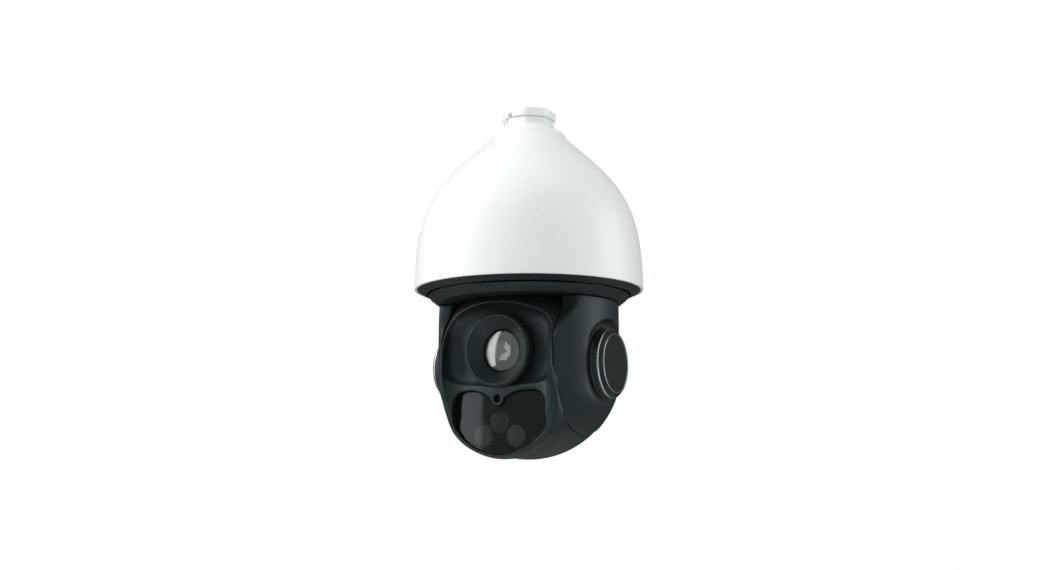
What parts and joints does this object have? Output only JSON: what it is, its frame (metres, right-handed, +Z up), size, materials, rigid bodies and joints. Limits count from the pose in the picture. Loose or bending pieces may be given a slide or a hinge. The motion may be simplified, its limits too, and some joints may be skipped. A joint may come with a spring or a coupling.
{
  "type": "ptz camera",
  "caption": "Hanging infrared speed dome: white bell housing, black turntable and arms, tilting ball head with lens and lamp window.",
  "frame": {"origin": "centre of the neck collar's top face, where the camera hangs from its bracket", "axes": "+Z up along the pan axis, the camera head faces -Y at rest, +X to the right seen from the front"},
  "size_m": [0.209, 0.209, 0.3235],
  "materials": {
    "housing_white": "satin white powder coat",
    "body_black": "satin moulded black",
    "trim_chrome": "bright",
    "window_dark": "polished, nearly black",
    "lens_glass": "coated lens glass",
    "lamp_lens": "smoky clear plastic",
    "seal_rubber": "matt",
    "steel_parts": "machined",
    "aluminium_parts": "die cast",
    "circuit_board": "solder mask",
    "inner_plastic": "moulded"
  },
  "bodies": {
    "housing": {"upper_housing": "housing_white", "neck_collar": "housing_white", "neck_liner": "seal_rubber", "rim_gasket": "seal_rubber", "base_ring": "body_black", "chassis_plate": "steel_parts", "pan_bearing_outer": "steel_parts", "pan_motor": "steel_parts", "pan_belt": "seal_rubber", "slip_ring_stator": "inner_plastic", "main_board": "circuit_board", "power_board": "circuit_board", "board_standoff_1": "steel_parts", "board_standoff_2": "steel_parts", "board_standoff_3": "steel_parts"},
    "pan_body": {"turntable": "body_black", "pan_hub": "aluminium_parts", "pan_pulley": "inner_plastic", "pan_bearing_inner": "steel_parts", "slip_ring_rotor": "inner_plastic", "left_arm_cover": "body_black", "left_arm_frame": "inner_plastic", "left_tilt_bearing": "steel_parts", "left_side_cap": "body_black", "left_cap_trim": "trim_chrome", "left_cap_band": "trim_chrome", "right_arm_cover": "body_black", "right_arm_frame": "inner_plastic", "right_tilt_bearing": "steel_parts", "right_side_cap": "body_black", "right_cap_trim": "trim_chrome", "right_cap_band": "trim_chrome", "tilt_motor": "steel_parts", "tilt_belt": "seal_rubber"},
    "head": {"head_front_shell": "body_black", "head_rear_shell": "body_black", "head_seal": "seal_rubber", "left_tilt_shaft": "steel_parts", "right_tilt_shaft": "steel_parts", "tilt_pulley": "inner_plastic", "lens_bezel": "body_black", "front_window": "lens_glass", "lens_barrel": "body_black", "objective_lens": "lens_glass", "sensor_board": "circuit_board", "camera_bracket": "aluminium_parts", "ir_window": "window_dark", "ir_lens_top": "lamp_lens", "ir_lens_left": "lamp_lens", "ir_lens_right": "lamp_lens", "ir_board": "circuit_board", "light_sensor": "window_dark", "heat_sink": "aluminium_parts", "fan_frame": "inner_plastic"},
    "pan_motor_rotor": {"pan_motor_pulley": "inner_plastic"},
    "tilt_motor_rotor": {"tilt_motor_pulley": "inner_plastic"},
    "zoom_carriage": {"zoom_group": "lens_glass"},
    "focus_carriage": {"focus_group": "lens_glass"},
    "filter_slider": {"ir_cut_filter": "inner_plastic"},
    "fan_wheel": {"fan_rotor": "inner_plastic"}
  },
  "joints": [
    {"name": "pan", "type": "hinge", "parent": "housing", "child": "pan_body", "pos_m": [0, 0, -0.238], "axis": [0, 0, 1], "continuous": true},
    {"name": "tilt", "type": "hinge", "parent": "pan_body", "child": "head", "pos_m": [0, 0, -0.238], "axis": [1, 0, 0], "range_deg": [-15, 90]},
    {"name": "pan_motor_spin", "type": "hinge", "parent": "housing", "child": "pan_motor_rotor", "pos_m": [0.04751, 0.03327, -0.138], "axis": [0, 0, 1], "continuous": true},
    {"name": "tilt_motor_spin", "type": "hinge", "parent": "pan_body", "child": "tilt_motor_rotor", "pos_m": [-0.07, 0, -0.2], "axis": [1, 0, 0], "range_deg": [-60, 300]},
    {"name": "zoom_slide", "type": "slide", "parent": "head", "child": "zoom_carriage", "axis": [0, -1, 0], "range_m": [0, 0.009]},
    {"name": "focus_slide", "type": "slide", "parent": "head", "child": "focus_carriage", "axis": [0, -1, 0], "range_m": [0, 0.005]},
    {"name": "filter_slide", "type": "slide", "parent": "head", "child": "filter_slider", "axis": [-1, 0, 0], "range_m": [0, 0.014]},
    {"name": "fan_spin", "type": "hinge", "parent": "head", "child": "fan_wheel", "pos_m": [0, 0.04, -0.238], "axis": [0, 1, 0], "continuous": true}
  ],
  "couplings": [
    {"joint": "pan_motor_spin", "follows": "pan", "ratio": 4},
    {"joint": "tilt_motor_spin", "follows": "tilt", "ratio": 3.1429}
  ]
}
